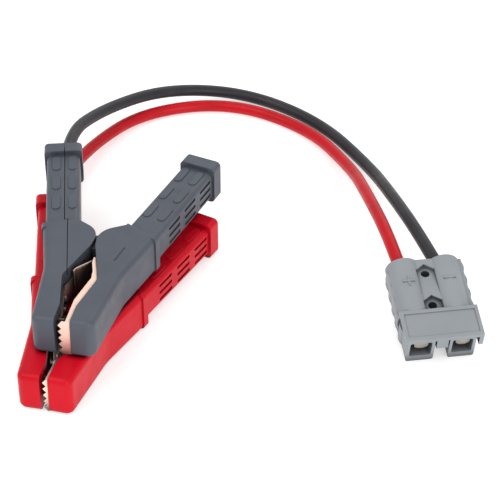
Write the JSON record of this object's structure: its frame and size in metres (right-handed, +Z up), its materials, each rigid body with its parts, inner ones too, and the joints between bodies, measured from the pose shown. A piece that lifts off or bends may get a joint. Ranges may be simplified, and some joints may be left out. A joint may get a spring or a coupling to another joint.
{
  "type": "battery clamp lead",
  "caption": "Pair of insulated spring clamps with copper jaws, stacked flat, each on its own flexible cable to a shared two-pole connector.",
  "frame": {"origin": "on the bench, under the middle of the two stacked clamps", "axes": "+Y from the black clamp's nose to its handles, +Z up, +X towards the free arms' side"},
  "size_m": [0.2309, 0.2717, 0.0403],
  "materials": {
    "black_plastic": "satin moulded",
    "red_plastic": "satin moulded",
    "grey_plastic": "fine matt",
    "copper": "stamped, lightly brushed",
    "steel": "zinc plated",
    "tinned_metal": "tinned",
    "red_cable": "smooth sheath",
    "black_cable": "smooth sheath"
  },
  "bodies": {
    "lead": {"black_cable_arm_outer_shell": "black_plastic", "black_cable_arm_inner_shell": "black_plastic", "black_cable_jaw": "copper", "black_cable_jaw_rivets": "steel", "black_hinge_pin": "steel", "black_torsion_spring": "steel", "black_contact_strap": "copper", "black_cable_lug": "tinned_metal", "black_lug_screw": "steel", "black_lug_nut": "steel", "black_clamp_conductor": "copper", "red_cable_arm_outer_shell": "red_plastic", "red_cable_arm_inner_shell": "red_plastic", "red_cable_jaw": "copper", "red_cable_jaw_rivets": "steel", "red_hinge_pin": "steel", "red_torsion_spring": "steel", "red_contact_strap": "copper", "red_cable_lug": "tinned_metal", "red_lug_screw": "steel", "red_lug_nut": "steel", "red_clamp_conductor": "copper", "positive_contact": "tinned_metal", "positive_leaf_spring": "steel", "positive_connector_conductor": "copper", "negative_contact": "tinned_metal", "negative_leaf_spring": "steel", "negative_connector_conductor": "copper", "connector_housing": "grey_plastic", "red_cable": "red_cable", "black_cable": "black_cable"},
    "black_free_arm": {"black_free_arm": "black_plastic", "black_free_jaw": "copper", "black_free_jaw_rivets": "steel"},
    "red_free_arm": {"red_free_arm": "red_plastic", "red_free_jaw": "copper", "red_free_jaw_rivets": "steel"}
  },
  "joints": [
    {"name": "black_clamp_hinge", "type": "hinge", "parent": "lead", "child": "black_free_arm", "pos_m": [0.00035, 0.00128, 0.0303], "axis": [0, 0, 1], "range_deg": [0, 26], "stiffness_Nm_per_rad": 0.8, "springref_deg": -34.38, "deforming": ["black_torsion_spring", "black_contact_strap"]},
    {"name": "red_clamp_hinge", "type": "hinge", "parent": "lead", "child": "red_free_arm", "pos_m": [-0.00195, -0.01502, 0.01], "axis": [0, 0, 1], "range_deg": [0, 30], "stiffness_Nm_per_rad": 0.8, "springref_deg": -34.38, "deforming": ["red_torsion_spring", "red_contact_strap"]}
  ]
}
